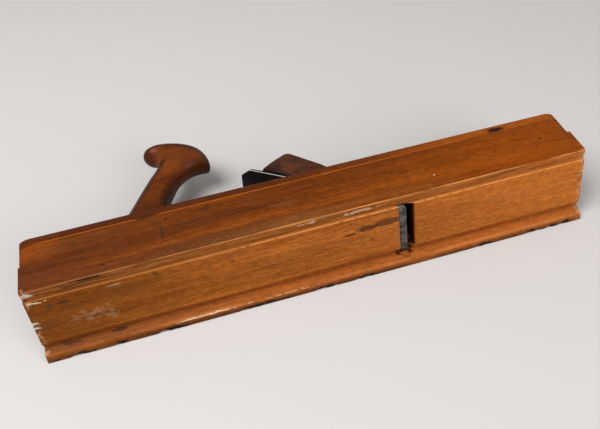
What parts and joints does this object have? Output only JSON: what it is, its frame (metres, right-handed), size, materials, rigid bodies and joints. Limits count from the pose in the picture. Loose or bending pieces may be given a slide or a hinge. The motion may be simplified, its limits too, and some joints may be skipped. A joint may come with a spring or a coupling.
{
  "type": "panel raising plane",
  "caption": "Wooden bench plane with a moulded, tilted sole, integral fence and stop, open handle and wedged cutting iron, for raising the bevelled margins of panels",
  "frame": {"origin": "centre of the left side's length, on the left side's face, level with the arris of the stop", "axes": "+X along the stock to the toe, +Y from the sole up to the deck, +Z from the left side to the right side, which is up as the plane lies"},
  "size_m": [0.5, 0.1948, 0.07],
  "materials": {
    "beech_stock": "worn oiled",
    "beech_tote": "satin polished",
    "iron_steel": "dark patina, ground edge",
    "beech_wedge": "aged oiled"
  },
  "bodies": {
    "stock": {"stock": "beech_stock", "tote": "beech_tote"},
    "iron": {"iron": "iron_steel"},
    "wedge": {"wedge": "beech_wedge"}
  },
  "joints": [
    {"name": "iron_slide", "type": "slide", "parent": "stock", "child": "iron", "axis": [-0.7032, 0.7056, -0.0872], "range_m": [-0.003, 0.03]},
    {"name": "wedge_slide", "type": "slide", "parent": "stock", "child": "wedge", "axis": [-0.7032, 0.7056, -0.0872], "range_m": [0, 0.055]}
  ]
}
